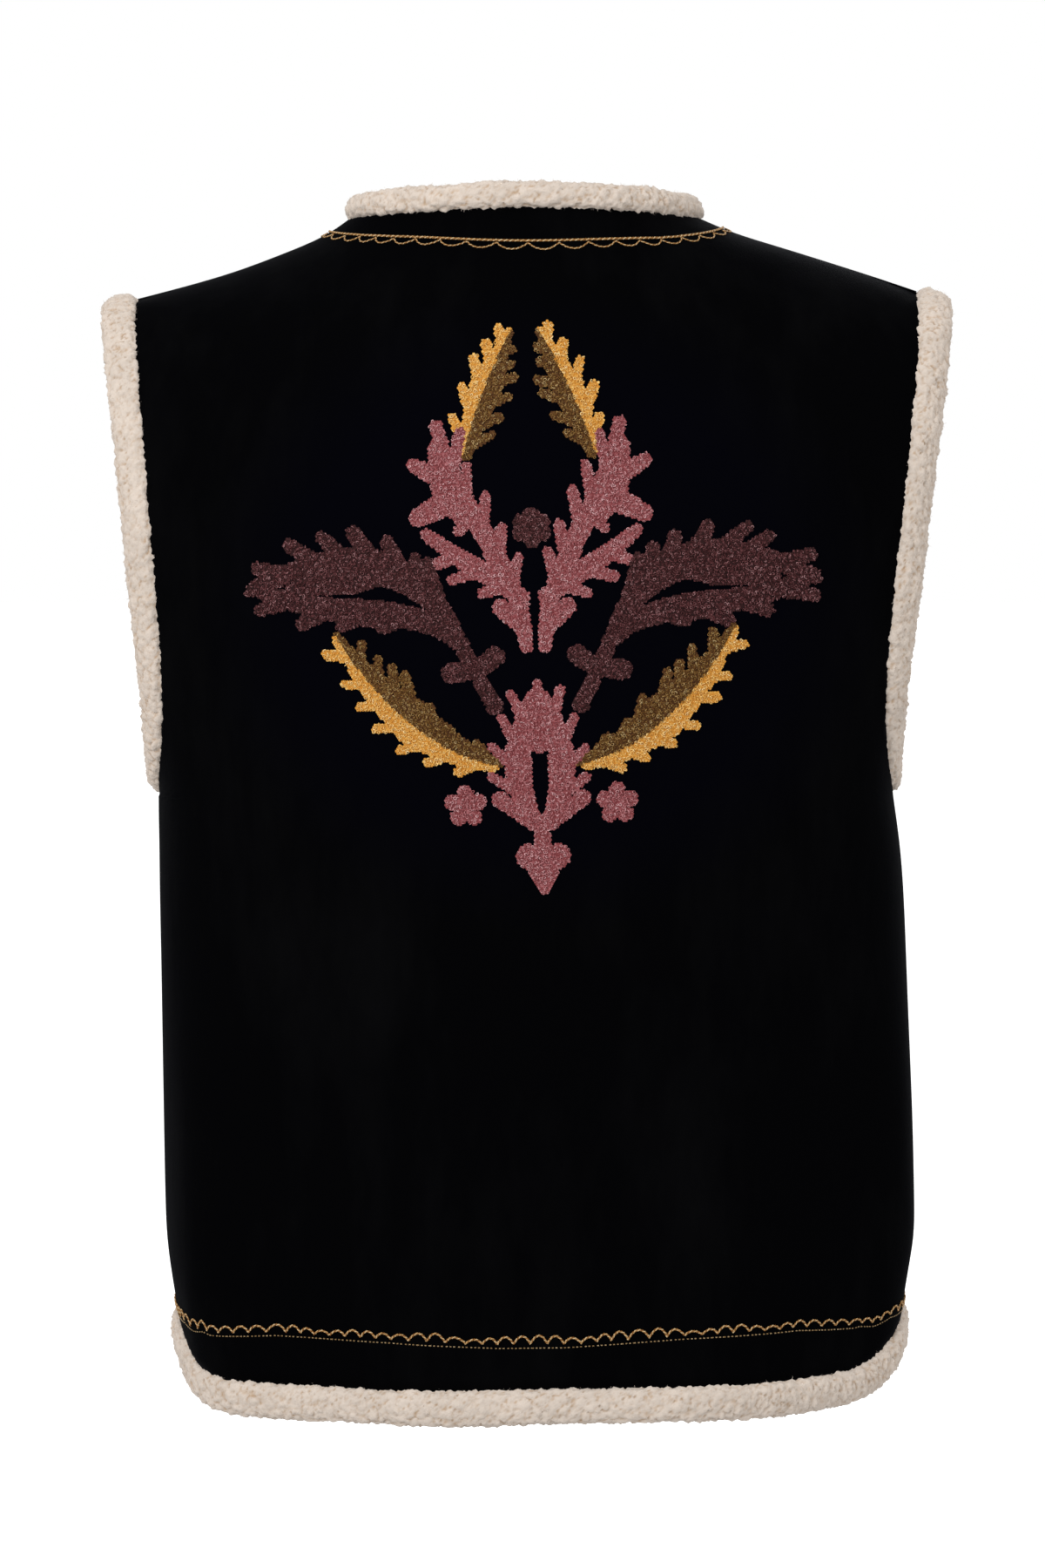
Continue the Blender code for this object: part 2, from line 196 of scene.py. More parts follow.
def copy_of(node, name):
    """A copy of a CAD node as a piece of its own, with its loose triangles merged."""
    piece = linked(name, frame["nodes"][node].data.copy())
    piece.data.name = name
    piece.data.materials.clear()
    only(piece)
    bpy.ops.object.mode_set(mode="EDIT")
    bpy.ops.mesh.select_all(action="SELECT")
    bpy.ops.mesh.remove_doubles(threshold=0.02 * MM)
    bpy.ops.mesh.tris_convert_to_quads(face_threshold=math.radians(35), shape_threshold=math.radians(60))
    bpy.ops.object.mode_set(mode="OBJECT")
    return piece


def points_of(piece):
    """The vertices of a piece as an array."""
    points = np.empty(len(piece.data.vertices) * 3)
    piece.data.vertices.foreach_get("co", points)
    return points.reshape(-1, 3)


def normals_of(piece):
    """The vertex normals of a piece as an array."""
    normals = np.empty(len(piece.data.vertices) * 3, dtype=np.float32)
    piece.data.vertex_normals.foreach_get("vector", normals)
    return normals.reshape(-1, 3).astype(float)


def move(piece, points):
    """Puts a piece's vertices at new places."""
    piece.data.vertices.foreach_set("co", points.ravel())
    piece.data.update()


def smooth(piece):
    """Shades every face smoothly."""
    piece.data.polygons.foreach_set("use_smooth", [True] * len(piece.data.polygons))


def store(piece, name, values):
    """Keeps one number for each vertex as an attribute that the material reads."""
    attribute = piece.data.attributes.new(name, "FLOAT", "POINT")
    attribute.data.foreach_set("value", np.asarray(values, dtype=np.float32))


def tree_of(pieces):
    """One search tree over the faces of several pieces."""
    points, faces = [], []
    for piece in pieces:
        first = len(points)
        points += [vertex.co.copy() for vertex in piece.data.vertices]
        faces += [[first + i for i in face.vertices] for face in piece.data.polygons]
    return BVHTree.FromPolygons(points, faces)


def unit(vectors):
    """Vectors of length one."""
    return vectors / np.maximum(np.linalg.norm(vectors, axis=-1, keepdims=True), 1e-12)


def from_segment(points, foot, head):
    """How far along a straight line each point is, from 0 to 1, and how far away from it."""
    way = head - foot
    share = np.clip(((points - foot) @ way) / max(way @ way, 1e-9), 0, 1)
    return share, np.linalg.norm(points - foot - share[:, None] * way, axis=1)


def from_data(name, points, faces):
    """A piece made from its corners and faces."""
    mesh = bpy.data.meshes.new(name)
    mesh.from_pydata(points, [], faces)
    mesh.validate()
    return linked(name, mesh)


def repeated(faces, count, corners):
    """The faces of many copies of one small shape that has a number of corners."""
    faces = np.asarray(faces)
    return (faces[None] + (np.arange(count) * corners)[:, None, None]).reshape(-1, faces.shape[1]).tolist()


def from_copies(name, shape, faces, frames, places):
    """A piece made of many copies of one small shape, each with its own axes and place."""
    points = np.einsum("nij,kj->nki", frames, shape) + places[:, None, :]
    piece = from_data(name, points.reshape(-1, 3).tolist(), repeated(faces, len(places), len(shape)))
    smooth(piece)
    return piece


def dress(piece, slot, *finishes):
    """Gives a piece its materials and the body that it rides on; the slot is not used."""
    for finish in finishes:
        piece.data.materials.append(finish)
    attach(piece, BODY)


# Materials

def fit(tree, node, values=None, links=None):
    """Sets the values of a node's inputs and makes the links into them."""
    for name, value in (values or {}).items():
        node.inputs[name].default_value = value
    for name, output in (links or {}).items():
        tree.links.new(output, node.inputs[name])


def add(tree, kind, values=None, links=None, **settings):
    """Adds a node with its settings, the values of its inputs and the links into them."""
    node = tree.nodes.new(kind)
    for name, value in settings.items():
        setattr(node, name, value)
    fit(tree, node, values, links)
    return node


def new_material(name):
    """An empty material, its tree and its shader."""
    material = bpy.data.materials.new(name)
    material.use_nodes = True
    tree = material.node_tree
    return material, tree, tree.nodes["Principled BSDF"]


def rgba(shade, gain=1.0):
    """A colour with its alpha."""
    return (*(min(1.0, part * gain) for part in shade), 1.0)


def grain(millimetres):
    """The scale of a pattern whose grains are this wide, rounded to two figures."""
    return float(f"{1 / (millimetres * MM):.2g}")


def velvet(settings):
    """The pile face of the velvet."""
    # Black cotton velvet, woven with a cut pile. It is almost black face on, and the pile gives
    # a soft grey sheen where it is seen along its side, and painted sheen where the nap leans.
    material, tree, shader = new_material("Cotton velvet")
    place = add(tree, "ShaderNodeTexCoord")
    # Painted sheen: the nap leans in patches of about 56 mm, drawn out up and down, painted lighter.
    stretch = add(tree, "ShaderNodeMapping", {"Scale": (1.0, 1.0, 0.35)}, {"Vector": place.outputs["Object"]})
    patches = add(tree, "ShaderNodeTexNoise", {"Scale": grain(56), "Detail": 4.0, "Roughness": 0.62},
                  {"Vector": stretch.outputs["Vector"]})
    spread = add(tree, "ShaderNodeMapRange", {"From Min": 0.46, "From Max": 0.72},
                 {"Value": patches.outputs["Fac"]})
    painted_sheen = add(tree, "ShaderNodeMix", {"A": rgba(settings.pile), "B": rgba(settings.nap_sheen)},
                  {"Factor": spread.outputs["Result"]}, data_type="RGBA")
    # The embroidery frame has pressed the pile in a round with a radius of about 170 mm.
    centre = add(tree, "ShaderNodeMapping", {"Location": (-0.02, 0.0, 1.05), "Scale": (5.6, 1.0, 6.0)},
                 {"Vector": place.outputs["Object"]})
    round_ = add(tree, "ShaderNodeTexGradient", None, {"Vector": centre.outputs["Vector"]},
                 gradient_type="SPHERICAL")
    soft = add(tree, "ShaderNodeMapRange", {"From Min": 0.0, "From Max": 0.3},
               {"Value": round_.outputs["Fac"]})
    ground = add(tree, "ShaderNodeMix", {"B": rgba(settings.pressed)},
                 {"Factor": soft.outputs["Result"], "A": painted_sheen.outputs["Result"]}, data_type="RGBA")
    # Pile tips are about 0.1 mm, drawn at 0.7 mm so that they show, on leaning tufts of about 14 mm.
    tips = add(tree, "ShaderNodeTexNoise", {"Scale": grain(0.7), "Detail": 2.0},
               {"Vector": place.outputs["Object"]})
    lean = add(tree, "ShaderNodeTexNoise", {"Scale": grain(14.3), "Detail": 3.0},
               {"Vector": stretch.outputs["Vector"]})
    low = add(tree, "ShaderNodeBump", {"Strength": 0.35, "Distance": 1.2 * MM},
              {"Height": lean.outputs["Fac"]})
    fine = add(tree, "ShaderNodeBump", {"Strength": 0.6, "Distance": 0.4 * MM},
               {"Height": tips.outputs["Fac"], "Normal": low.outputs["Normal"]})
    fit(tree, shader,
        {"Roughness": 0.85, "Specular IOR Level": 0.006, "Sheen Weight": 0.016, "Sheen Roughness": 0.35,
         "Sheen Tint": (0.8, 0.85, 1.0, 1.0)},
        {"Base Color": ground.outputs["Result"], "Normal": fine.outputs["Normal"]})
    return material


def velvet_reverse(settings):
    """The woven back of the velvet."""
    # Plain woven cotton ground, the wrong side of the velvet. It is flat and matt, with a thread
    # count of about 30 to the centimetre, drawn at 12 to the centimetre so that it shows.
    material, tree, shader = new_material("Velvet reverse")
    place = add(tree, "ShaderNodeTexCoord")
    # A wave pattern repeats 10 / pi times in one unit of its scale.
    threads = {"Scale": grain(0.83 * 10 / math.pi), "Distortion": 0.4}
    warp = add(tree, "ShaderNodeTexWave", threads, {"Vector": place.outputs["Object"]}, bands_direction="X")
    weft = add(tree, "ShaderNodeTexWave", threads, {"Vector": place.outputs["Object"]}, bands_direction="Z")
    weave = add(tree, "ShaderNodeMath", None, {0: warp.outputs["Fac"], 1: weft.outputs["Fac"]},
                operation="MULTIPLY")
    tone = add(tree, "ShaderNodeMix", {"A": rgba(settings.reverse, 0.7), "B": rgba(settings.reverse, 1.3)},
               {"Factor": weave.outputs["Value"]}, data_type="RGBA")
    bump = add(tree, "ShaderNodeBump", {"Strength": 0.4, "Distance": 0.3 * MM},
               {"Height": weave.outputs["Value"]})
    fit(tree, shader, {"Roughness": 0.95, "Specular IOR Level": 0.1},
        {"Base Color": tone.outputs["Result"], "Normal": bump.outputs["Normal"]})
    return material


def sherpa(settings, strands=False):
    """The sherpa's pile, or the loose fibres on it."""
    # Polyester sherpa fleece, knitted with a curled pile. It is matt and soft: cream tips, tan
    # painted shade in the crevices between the curls, and no gloss.
    material, tree, shader = new_material("Sherpa fibre" if strands else "Sherpa fleece")
    place = add(tree, "ShaderNodeTexCoord")
    # The shade varies a little, in patches of about 17 mm.
    tint = add(tree, "ShaderNodeTexNoise", {"Scale": grain(16.7), "Detail": 3.0},
               {"Vector": place.outputs["Object"]})
    # The attribute ground marks the crevices of the pile, where the tan is painted shade.
    depth = add(tree, "ShaderNodeAttribute", attribute_name="ground")
    soft = add(tree, "ShaderNodeMapRange", {"From Min": 0.05, "From Max": 1.0, "To Max": 0.9},
               {"Value": depth.outputs["Fac"]})
    base = add(tree, "ShaderNodeMix", {"A": rgba(settings.tuft), "B": rgba(settings.shade)},
               {"Factor": soft.outputs["Result"]}, data_type="RGBA")
    tone = add(tree, "ShaderNodeMapRange", {"From Min": 0.3, "From Max": 0.7, "To Min": 0.93, "To Max": 1.04},
               {"Value": tint.outputs["Fac"]})
    varied = add(tree, "ShaderNodeHueSaturation", None,
                 {"Color": base.outputs["Result"], "Value": tone.outputs["Result"]})
    fit(tree, shader,
        {"Roughness": 0.95, "Specular IOR Level": 0.1, "Sheen Weight": 0.12, "Sheen Roughness": 0.5},
        {"Base Color": varied.outputs["Color"]})
    if not strands:
        # The turns of one curl are about 1.2 mm apart.
        curl = add(tree, "ShaderNodeTexVoronoi", {"Scale": grain(1.18), "Smoothness": 0.6, "Randomness": 1.0},
                   {"Vector": place.outputs["Object"]}, feature="SMOOTH_F1")
        bump = add(tree, "ShaderNodeBump", {"Strength": 0.35, "Distance": 0.6 * MM},
                   {"Height": curl.outputs["Distance"]}, invert=True)
        fit(tree, shader, None, {"Normal": bump.outputs["Normal"]})
    return material


def thread(name, shade, roughness=0.42):
    """One colour of thread. Each loop has its own tone in the attribute "tone", painted paler as highlight or
    darker as shade.
    """
    # Viscose embroidery thread, two ply and soft spun. It has a silky gloss on each turn, and dark
    # gaps between the loops.
    material, tree, shader = new_material(name)
    tone = add(tree, "ShaderNodeAttribute", attribute_name="tone")
    place = add(tree, "ShaderNodeTexCoord")
    # The light catches one turn of the thread and not the next, about 1 mm apart.
    turns = add(tree, "ShaderNodeTexNoise", {"Scale": grain(1.0), "Detail": 1.5},
                {"Vector": place.outputs["Object"]})
    glint = add(tree, "ShaderNodeMapRange",
                {"From Min": 0.3, "From Max": 0.7, "To Min": -0.35, "To Max": 0.35},
                {"Value": turns.outputs["Fac"]})
    level = add(tree, "ShaderNodeMath", None, {0: tone.outputs["Fac"], 1: glint.outputs["Result"]})
    # A gamma below 1 gives a paler thread, and one above 1 a darker and richer thread.
    power = add(tree, "ShaderNodeMapRange", {"To Min": 1.85, "To Max": 0.6},
                {"Value": level.outputs["Value"]})
    varied = add(tree, "ShaderNodeGamma", {"Color": rgba(shade)}, {"Gamma": power.outputs["Result"]})
    # The ply turns about every 0.6 mm.
    ply = add(tree, "ShaderNodeTexNoise", {"Scale": grain(0.62), "Detail": 1.0},
              {"Vector": place.outputs["Object"]})
    bump = add(tree, "ShaderNodeBump", {"Strength": 0.35, "Distance": 0.2 * MM},
               {"Height": ply.outputs["Fac"]})
    fit(tree, shader, {"Roughness": roughness, "Specular IOR Level": 0.3},
        {"Base Color": varied.outputs["Color"], "Normal": bump.outputs["Normal"]})
    return material


# Velvet panels

# Soft creases: foot and head on the back or front, half width, and rise, all in mm.
# A negative rise is a trough. Left and right are the wearer's, and +x is the wearer's right.
CREASES = (
    (-188, -52, -30, -150, -66, -62, 5, 1.0),
    (-182, -56, -44, -140, -72, -88, 6, -0.9),
    (-176, -60, -64, -128, -78, -118, 7, 0.7),
    (196, -48, -36, 150, -70, -76, 6, 0.8),
    (190, -52, -58, 138, -80, -110, 7, -0.7),
    (-186, -30, -262, -140, -84, -225, 7, 0.8),
    (-184, -36, -286, -128, -92, -262, 9, -0.8),
    (190, -34, -268, 150, -84, -236, 7, 0.7),
    (-184, 34, -270, -130, 90, -232, 7, 0.9),
    (188, 34, -272, 136, 90, -236, 7, 0.9),
    (-150, 70, -560, -120, 92, -430, 10, 0.7),
    (150, 70, -560, 124, 92, -440, 10, 0.7),
)


SHARP = math.radians(50)  # two faces that meet at more than this are on different sides of a panel
RIM_CORNER = 0.8  # radians between two faces of the rim that meet at a corner of the cut
UNDER_EDGING = 2.2 * MM  # a panel's edge that is nearer to the edging than this runs into it
BODY_LOW, BODY_HIGH = -0.55, -0.15  # ends of the upright line that the outer side faces away from


def regions(mesh):
    """Splits a panel's faces at its sharp edges into the outer side, the inner side and the rim."""
    mesh.faces.ensure_lookup_table()
    found, seen = [], set()
    for start in mesh.faces:
        if start in seen:
            continue
        region, queue = [], [start]
        seen.add(start)
        while queue:
            face = queue.pop()
            region.append(face)
            for edge in face.edges:
                if len(edge.link_faces) != 2 or edge.calc_face_angle() > SHARP:
                    continue
                for other in edge.link_faces:
                    if other not in seen:
                        seen.add(other)
                        queue.append(other)
        found.append(region)
    found.sort(key=lambda region: -sum(face.calc_area() for face in region))

    def facing(region):
        total = 0.0
        for face in region:
            middle = face.calc_center_median()
            inside = Vector((0, 0, min(max(middle.z, BODY_LOW), BODY_HIGH)))
            total += face.calc_area() * face.normal.dot((middle - inside).normalized())
        return total

    outer, inner = sorted(found[:2], key=facing, reverse=True)
    return outer, inner, [face for region in found[2:] for face in region]


def creased(points, creases):
    """Points moved in or out along soft creases."""
    moved = points.copy()
    inside = np.stack([np.zeros(len(points)), np.zeros(len(points)), points[:, 2]], axis=1)
    out = unit(points - inside)
    for *ends, half, rise in creases:
        share, away = from_segment(points, np.array(ends[:3]) * MM, np.array(ends[3:]) * MM)
        # A crease stands highest half way along, and fades towards both ends.
        height = rise * MM * np.sin(math.pi * (0.15 + 0.7 * share)) ** 2
        moved += out * (height * np.exp(-(away / (half * MM)) ** 2))[:, None]
    return moved


def make_panel(node, edging_tree, settings):
    """A velvet panel on its solid, tucked under the edging and closed up at its seams."""
    piece = copy_of(node, PANELS[node])
    mesh = bmesh.new()
    mesh.from_mesh(piece.data)
    mesh.normal_update()
    outer, inner, rim = regions(mesh)
    for face in inner:
        face.material_index = 1
    crease = mesh.edges.layers.float.new("crease_edge")
    outer_set, rim_set = set(outer), set(rim)
    edge_points = []
    pushes = {}
    for face in rim:
        for edge in face.edges:
            if any(other not in rim_set for other in edge.link_faces) or edge.calc_face_angle(0) > RIM_CORNER:
                edge[crease] = 1.0
        for vertex in face.verts:
            pushes[vertex] = pushes.get(vertex, Vector()) + face.normal
    for vertex, push in pushes.items():
        gap = edging_tree.find_nearest(vertex.co)[3]
        if gap is not None and gap < UNDER_EDGING:
            if any(face in outer_set for face in vertex.link_faces):
                edge_points.append(tuple(vertex.co))
            reach = settings.edge_tuck
        else:
            reach = settings.seam_tuck
        vertex.co += push.normalized() * reach
    mesh.to_mesh(piece.data)
    mesh.free()
    apply(piece, "SUBSURF", levels=settings.smoothness, render_levels=settings.smoothness)
    move(piece, creased(points_of(piece), CREASES))
    smooth(piece)
    only(piece)
    bpy.ops.object.shade_smooth_by_angle(angle=SHARP)
    return piece, edge_points


class VEST_OT_velvet(Operator):
    """Make the back and the two fronts in black velvet"""

    bl_idname = "vest.velvet"
    bl_label = "Velvet Panels"

    def execute(self, context):
        settings = context.scene.vest_velvet
        finishes = (velvet(settings), velvet_reverse(settings))
        tree = tree_of([frame["nodes"][node] for node in EDGINGS])
        for node, name in PANELS.items():
            piece, edge_points = make_panel(node, tree, settings)
            dress(piece, "velvet", *finishes)
            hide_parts(node)
            CLOTH[node] = edge_points
        return {"FINISHED"}


# The points of each panel's edges under the edging, kept for the stitching.
CLOTH = {}


# Sherpa edging

def scattered(points, gap, seed):
    """Chooses points that are at least a gap apart, in a seeded order."""
    order = list(range(len(points)))
    random.Random(seed).shuffle(order)
    cells = np.floor(points / gap).astype(int)
    taken, chosen = {}, []
    steps = [(i, j, k) for i in (-1, 0, 1) for j in (-1, 0, 1) for k in (-1, 0, 1)]
    for index in order:
        cell, point = tuple(cells[index]), points[index]
        near = (taken.get((cell[0] + i, cell[1] + j, cell[2] + k), ()) for i, j, k in steps)
        if all(((point - points[other]) ** 2).sum() >= gap * gap for group in near for other in group):
            taken.setdefault(cell, []).append(index)
            chosen.append(index)
    return np.array(chosen)


END_REACH = 3.5 * MM  # how far the front edgings' pile reaches past their solids' ends
# Sizes of a cell, as shares of the cells' width: the least gap between two middles, the shift of the
# places that the points look from, and the slope from a cell's top to its edge.
CELL_GAP, CELL_SHIFT, CELL_SLOPE = 0.74, 0.17, 0.62
CELL_FULL = 0.6  # the power of the slope, which is fuller than a cone below 1
# Each size of pile: its share of the relief, and the least and the drawn part of a cell's height.
PILE = {"clump": (0.48, 0.7, 0.5), "nub": (0.35, 0.5, 0.7), "curl": (0.17, 0.5, 0.8)}
PILE_LEVEL = 0.52  # the height, as a share of the relief, that lies on the solid's own surface
# A loose fibre: its least and greatest length, half its thickness, and how deep its root is, in mm.
FIBRE_LENGTHS, FIBRE_HALF, FIBRE_ROOT = (0.7, 1.7), 0.07, 0.3
FIBRE_LEANS = (0.3, 1.1)  # how far a fibre leans to its side, against its rise


def cells(points, width, seed):
    """Uneven cells over a piece: 1 in a cell's middle and 0 between two, and a draw for each cell."""
    chosen = scattered(points, width * CELL_GAP, seed)
    seeds = KDTree(len(chosen))
    for i, index in enumerate(chosen):
        seeds.insert(Vector(points[index]), i)
    seeds.balance()
    draw = np.random.default_rng(seed)
    # Each point looks from a slightly shifted place, so that no cell is a clean round bead.
    waves = draw.uniform(0.7, 1.5, (3, 3)) * 2 * math.pi / (1.3 * width)
    shifted = points + CELL_SHIFT * width * np.sin(points @ waves + draw.uniform(0, 6, 3))
    first, second, own = np.empty(len(points)), np.empty(len(points)), np.empty(len(points), dtype=int)
    for i, point in enumerate(shifted):
        (_, own[i], first[i]), (_, _, second[i]) = seeds.find_n(point, 2)
    swell = np.clip((second - first) / (CELL_SLOPE * width), 0, 1) ** CELL_FULL
    return swell, draw.uniform(0, 1, len(chosen))[own]


def raise_nubs(piece, settings, seed):
    """Raises the looped pile in clumps, nubs and curls, and keeps how deep each point lies between them, for
    the painted shade.
    """
    points, normals = points_of(piece), normals_of(piece)
    swell, drawn, height = {}, {}, 0
    for step, (size, (part, least, spread)) in enumerate(PILE.items()):
        swell[size], drawn[size] = cells(points, getattr(settings, size), seed + 100 * step)
        height = height + part * swell[size] * (least + spread * drawn[size])
    move(piece, points + normals * ((height - PILE_LEVEL) * settings.relief)[:, None])
    # Painted shade: the pile is painted tan in the crevices between clumps, more at six in ten of them, and a
    # little between nubs.
    crack_shade = np.clip(1 - 2.4 * swell["clump"], 0, 1) * (0.45 + 0.55 * (drawn["clump"] > 0.4))
    store(piece, "ground", np.clip(crack_shade + 0.4 * np.clip(1 - 2.2 * swell["nub"], 0, 1), 0, 1))


def fuzz_on(piece, settings, metres, seed):
    """Loose curved fibres standing off the pile, three triangles each."""
    points, normals = points_of(piece), normals_of(piece)
    draw = np.random.default_rng(seed)
    count = int(settings.fuzz * metres)
    pick = draw.integers(0, len(points), count)
    root, out = points[pick], normals[pick]
    side = unit(np.cross(out, draw.normal(size=(count, 3))))
    long = draw.uniform(*FIBRE_LENGTHS, count)[:, None] * MM
    lean = draw.uniform(*FIBRE_LEANS, count)[:, None]
    half = FIBRE_HALF * MM * np.cross(out, side)
    low = root - FIBRE_ROOT * MM * out
    middle = root + long * 0.55 * unit(out + 0.5 * lean * side)
    tip = middle + long * 0.6 * unit(out * 0.4 + lean * side)
    corners = np.stack([low - half, low + half, middle + half, middle - half, tip], axis=1)
    faces = repeated([(0, 1, 2), (0, 2, 3), (3, 2, 4)], count, corners.shape[1])
    return from_data(piece.name + "_fuzz", corners.reshape(-1, 3).tolist(), faces)


class VEST_OT_edging(Operator):
    """Make the sherpa edging of hem, neck, armholes and fronts"""

    bl_idname = "vest.edging"
    bl_label = "Sherpa Edging"

    def execute(self, context):
        settings = context.scene.vest_sherpa
        fleece, fibre = sherpa(settings), sherpa(settings, strands=True)
        for seed, (node, flat) in enumerate(EDGINGS.items(), start=11):
            piece = copy_of(node, "sherpa_" + node)
            if node.startswith("front"):
                # Rounding takes a little off each end, and the pile there fills the corner again.
                points = points_of(piece)
                middle = (points.max(axis=0) + points.min(axis=0)) / 2
                tall = np.ptp(points[:, 2])
                move(piece, middle + (points - middle) * np.array([1, 1, 1 + 2 * END_REACH / tall]))
            apply(piece, "SUBSURF", levels=1, render_levels=1)
            apply(piece, "REMESH", mode="VOXEL", voxel_size=settings.mesh)
            raise_nubs(piece, settings, seed)
            smooth(piece)
            dress(piece, "sherpa", fleece)
            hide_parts(node)
            if settings.fuzz:
                fibres = fuzz_on(piece, settings, flat[1], seed + 50)
                dress(fibres, "sherpa", fibre)
        return {"FINISHED"}


# Gold stitching

HEM_PANELS_BELOW = -0.45  # edge points lower than this belong to the hem
HEM_CORNER_BELOW = -0.56  # and at the opening, where the panel's upright edge begins, lower than this
OPENING_WITHIN = 0.03  # edge points nearer than this to the middle, in front, belong to the opening
NECK_WITHIN, NECK_SIDE = 0.125, 0.105  # edge points nearer than this all round, and sideways, and
NECK_ABOVE = -0.075  # higher than this belong to the neck
HEM_PLACES, NECK_PLACES = 2000, 700  # places that each line is worked out at
# How uneven each line is, the seed of that, and how many places one rise or fall takes.
HEM_UNEVEN, NECK_UNEVEN = (0.5 * MM, 3, 150), (0.3 * MM, 6, 80)
# How far round to the side a place of the hem is, from 0 in the middle to 1 at the side seam, and the
# line's height there, as a share of the way from its height at the side seam to its usual height.
SIDE_STEPS = (0.1, 0.4, 0.7, 0.86, 0.93, 0.98)
RISE_STEPS = (0.98, 1.12, 1.17, 1.02, 0.58, 0.0)
# The hem line's stitches: length, gap, the thread's radius, and its middle's height off the velvet.
DASH, DASH_GAP, DASH_RADIUS, DASH_LIFT = 1.5 * MM, 0.6 * MM, 0.3 * MM, 0.2 * MM
# Each cord of two strands: a strand's radius, its offset from the cord's middle, and one turn's length.
HEM_SCALLOP_CORD = (0.32 * MM, 0.32 * MM, 2.6 * MM)
NECK_CORD = (0.36 * MM, 0.36 * MM, 2.8 * MM)
NECK_SCALLOP_CORD = (0.24 * MM, 0.26 * MM, 2.4 * MM)
CORD_FLAT = 0.7  # how far a strand winds up and down, as a share of how far it winds sideways
STRAND_PAINTED_TONES = (0.15, 0.9)  # one strand painted darker as shade and one paler as highlight, so that the twist shows
# Each row of scallops, in mm: pitch, height, offset from its line, how uneven the pitch is, as a share,
# and the height, then the power of its arches, which are fuller than a sine below 1, and the seed.
HEM_SCALLOPS = (8.7, 3.7, 1.8, 0.15, 0.9, 0.7, 4)
NECK_SCALLOPS = (12.0, 4.4, 0.9, 0.04, 0.5, 0.75, 7)


def travel(line):
    """The distance to each place of a line from its start."""
    return np.concatenate([[0], np.cumsum(np.linalg.norm(np.diff(line, axis=0), axis=1))])


def between(places, known, rows):
    """Rows of three values at new places, read off between the known ones."""
    return np.stack([np.interp(places, known, rows[:, i]) for i in range(3)], axis=1)


def edge_line(points, count):
    """Edge points in order round the vest, as an even smooth line of places from angle to angle."""
    points = np.array(points)
    angles = np.arctan2(points[:, 0], -points[:, 1])
    order = np.argsort(angles)
    angles, points = angles[order], points[order]
    line = between(np.linspace(angles[0], angles[-1], 4 * count), angles, points)
    travelled = travel(line)
    even = np.linspace(0, travelled[-1], count)
    line = between(even, travelled, line)
    kernel = np.ones(7) / 7
    padded = np.concatenate([np.repeat(line[:1], 3, axis=0), line, np.repeat(line[-1:], 3, axis=0)])
    return np.stack([np.convolve(padded[:, i], kernel, mode="valid") for i in range(3)], axis=1), even


def walk(tree, starts, directions, distances, steps=5):
    """Walks over the cloth from each start for a distance, and gives the places and their normals."""
    places, normals = [], []
    for start, direction, distance in zip(starts, directions, distances):
        place, heading = Vector(start), Vector(direction)
        normal = Vector((0, 0, 1))
        for _ in range(steps):
            place, normal, _, _ = tree.find_nearest(place + heading * (distance / steps))
            heading = (heading - normal * heading.dot(normal)).normalized()
        places.append(tuple(place))
        normals.append(tuple(normal))
    return np.array(places), np.array(normals)


def tube(points, normals, radius, sides, lift, tone):
    """Corners and faces of one length of thread that lies on the cloth."""
    points = points + normals * lift
    along = unit(np.gradient(points, axis=0))
    across = unit(np.cross(along, normals))
    up = np.cross(across, along)
    turns = np.arange(sides) * 2 * math.pi / sides
    ring = np.cos(turns)[None, :, None] * across[:, None] + np.sin(turns)[None, :, None] * up[:, None]
    corners = (points[:, None] + radius * ring).reshape(-1, 3)
    faces = []
    for i in range(len(points) - 1):
        for j in range(sides):
            k = (j + 1) % sides
            faces.append((i * sides + j, i * sides + k, (i + 1) * sides + k, (i + 1) * sides + j))
    faces.append(tuple(reversed(range(sides))))
    last = (len(points) - 1) * sides
    faces.append(tuple(last + j for j in range(sides)))
    return corners, faces, [tone] * len(corners)


def twisted(points, normals, radius, offset, pitch, sides=4):
    """The strands of a cord: each winds round the line at an offset, once in every pitch."""
    travelled = travel(points)
    even = np.linspace(0, travelled[-1], int(travelled[-1] / (pitch / 5)))
    line = between(even, travelled, points)
    up = unit(between(even, travelled, normals))
    across = unit(np.cross(np.gradient(line, axis=0), up))
    made = []
    # One strand is painted in shade and the other in highlight.
    for strand, tone in enumerate(STRAND_PAINTED_TONES):
        turn = even / pitch * 2 * math.pi + strand * math.pi
        wound = line + offset * (np.cos(turn)[:, None] * across + CORD_FLAT * np.sin(turn)[:, None] * up)
        made.append(tube(wound, up, radius, sides, radius + CORD_FLAT * offset, tone))
    return made


def threads_piece(name, parts):
    """One piece from several lengths of thread."""
    corners, faces, tones = [], [], []
    for part_corners, part_faces, part_tones in parts:
        first = len(tones)
        corners += part_corners.tolist()
        faces += [tuple(first + i for i in face) for face in part_faces]
        tones += part_tones
    piece = from_data(name, corners, faces)
    store(piece, "tone", tones)
    smooth(piece)
    return piece


def wobble(values, amount, seed, every=40):
    """Values with a soft hand-made unevenness that changes about once in a number of places."""
    draw = np.random.default_rng(seed)
    knots = draw.uniform(-1.7 * amount, 1.7 * amount, len(values) // every + 2)
    place = np.arange(len(values)) / every
    before = place.astype(int)
    ease = (1 - np.cos(math.pi * (place - before))) / 2
    return values + knots[before] * (1 - ease) + knots[before + 1] * ease


def scalloped(base, along, pitch, tall, offset, uneven_pitch, uneven_height, power, seed):
    """How far a row of scallops is from the edge at each place along it, on a base line."""
    phase = wobble(along / (pitch * MM), uneven_pitch, seed)
    height = wobble(np.full(len(along), tall * MM), uneven_height * MM, seed + 1)
    return base + offset * MM + height * np.abs(np.sin(math.pi * phase)) ** power


